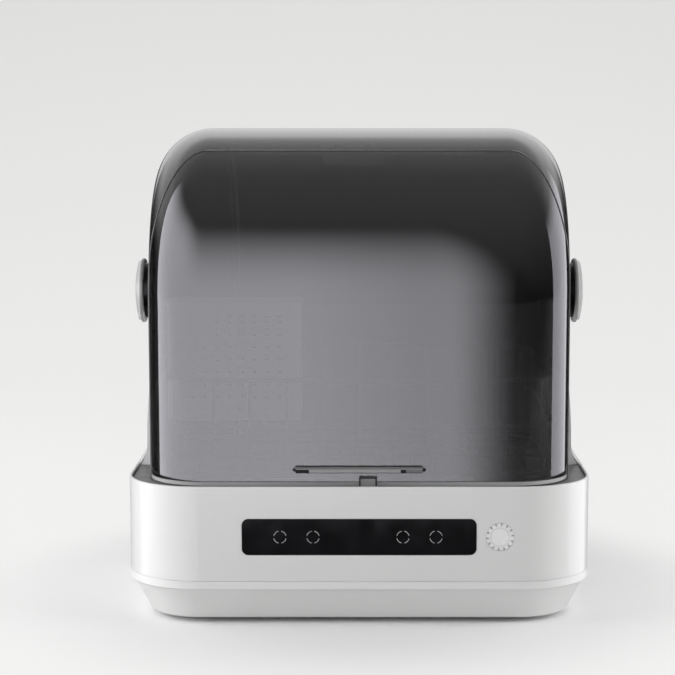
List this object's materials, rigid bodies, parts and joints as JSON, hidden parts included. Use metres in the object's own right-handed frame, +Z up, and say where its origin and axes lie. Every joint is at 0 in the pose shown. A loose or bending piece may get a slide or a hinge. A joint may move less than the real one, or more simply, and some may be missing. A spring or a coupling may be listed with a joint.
{
  "type": "countertop dishwasher",
  "caption": "Countertop dishwasher: white base with black touch panel, arched smoked hood that swings back on side arms, wire rack, cutlery basket, spray arm, pumps and rear connections.",
  "frame": {"origin": "centre of the overall footprint, on the surface that the feet stand on", "axes": "+Z up, +X to the right of the user, the control panel faces -Y"},
  "size_m": [0.447, 0.35, 0.462],
  "materials": {
    "white_housing": "satin gloss",
    "white_pan": "satin gloss",
    "white_arm": "satin gloss",
    "white_cap": "gloss",
    "badge_white": "satin",
    "grey_deck": "satin",
    "grey_flange": "satin",
    "black_collar": "gloss",
    "control_black": "high gloss",
    "smoke_window": "high gloss smoked",
    "smoke_frame": "gloss",
    "rear_dark": "gloss",
    "handle_dark": "gloss",
    "seal_rubber": "matt",
    "foot_rubber": "matt",
    "steel": "brushed",
    "bright_steel": "polished",
    "heater_steel": "satin",
    "grey_plastic": "satin",
    "dark_plastic": "satin",
    "nylon": "satin",
    "board_green": "satin",
    "lamp_glass": "clear",
    "rack_white": "coated wire",
    "basket_grey": "satin"
  },
  "bodies": {
    "base": {"base_pan": "white_pan", "outer_housing": "white_housing", "service_panel": "white_housing", "wash_tub": "grey_deck", "deck_seal": "seal_rubber", "spray_hub": "grey_plastic", "sump_cup": "grey_plastic", "side_arm_left": "white_arm", "side_arm_right": "white_arm", "pivot_pins": "steel", "hinge_washers": "nylon", "pivot_collar_left": "black_collar", "pivot_collar_right": "black_collar", "pivot_flange_left": "grey_flange", "pivot_flange_right": "grey_flange", "pivot_cap_left": "white_cap", "pivot_cap_right": "white_cap", "rear_shell": "rear_dark", "shell_seal": "seal_rubber", "uv_lamp_housing": "grey_plastic", "uv_lamp_tube": "lamp_glass", "riser_pipe": "steel", "top_nozzle": "steel", "heating_element": "heater_steel", "wash_pump": "grey_plastic", "drain_pump": "dark_plastic", "suction_pipe": "dark_plastic", "feed_pipe": "dark_plastic", "drain_pipe": "dark_plastic", "drain_port": "grey_plastic", "inlet_valve": "grey_plastic", "power_inlet": "dark_plastic", "power_pins": "bright_steel", "fan_frame": "dark_plastic", "air_duct": "grey_plastic", "power_board": "board_green", "display_board": "board_green", "control_glass": "control_black", "badge_disc": "badge_white", "rubber_feet": "foot_rubber", "panel_screws": "steel", "latch_keeper": "steel", "tub_deck": "grey_deck"},
    "hood": {"hood_window": "smoke_window", "hood_frame": "smoke_frame", "handle_lip": "handle_dark", "latch_tab": "handle_dark", "hub_bushes": "nylon"},
    "spray": {"spray_arm": "steel"},
    "filter": {"sump_filter": "grey_plastic"},
    "wash_impeller": {"wash_rotor": "nylon"},
    "drain_impeller": {"drain_rotor": "nylon"},
    "fan": {"fan_rotor": "dark_plastic"},
    "rack": {"rack_frame": "rack_white", "rack_ends": "rack_white", "rack_sides": "rack_white", "rack_floor": "rack_white", "rack_tines": "rack_white"},
    "basket": {"cutlery_basket": "basket_grey", "basket_walls": "basket_grey"}
  },
  "joints": [
    {"name": "hood_swing", "type": "hinge", "parent": "base", "child": "hood", "pos_m": [0, 0, 0.301], "axis": [-1, 0, 0], "range_deg": [0, 90]},
    {"name": "spray_spin", "type": "hinge", "parent": "base", "child": "spray", "pos_m": [0, 0, 0.1], "axis": [0, 0, 1], "continuous": true},
    {"name": "filter_turn", "type": "hinge", "parent": "base", "child": "filter", "pos_m": [0.06, 0.07, 0.07], "axis": [0, 0, 1], "range_deg": [0, 60]},
    {"name": "wash_pump_spin", "type": "hinge", "parent": "base", "child": "wash_impeller", "pos_m": [0.06, -0.05, 0.045], "axis": [0, 1, 0], "continuous": true},
    {"name": "drain_pump_spin", "type": "hinge", "parent": "base", "child": "drain_impeller", "pos_m": [0.118, 0.07, 0.05], "axis": [1, 0, 0], "continuous": true},
    {"name": "fan_spin", "type": "hinge", "parent": "base", "child": "fan", "pos_m": [-0.118, 0.03, 0.015], "axis": [0, 0, 1], "continuous": true},
    {"name": "rack_lift", "type": "slide", "parent": "base", "child": "rack", "axis": [0, 0, 1], "range_m": [0, 0.025]},
    {"name": "basket_lift", "type": "slide", "parent": "rack", "child": "basket", "axis": [0, 0, 1], "range_m": [0, 0.03]}
  ]
}
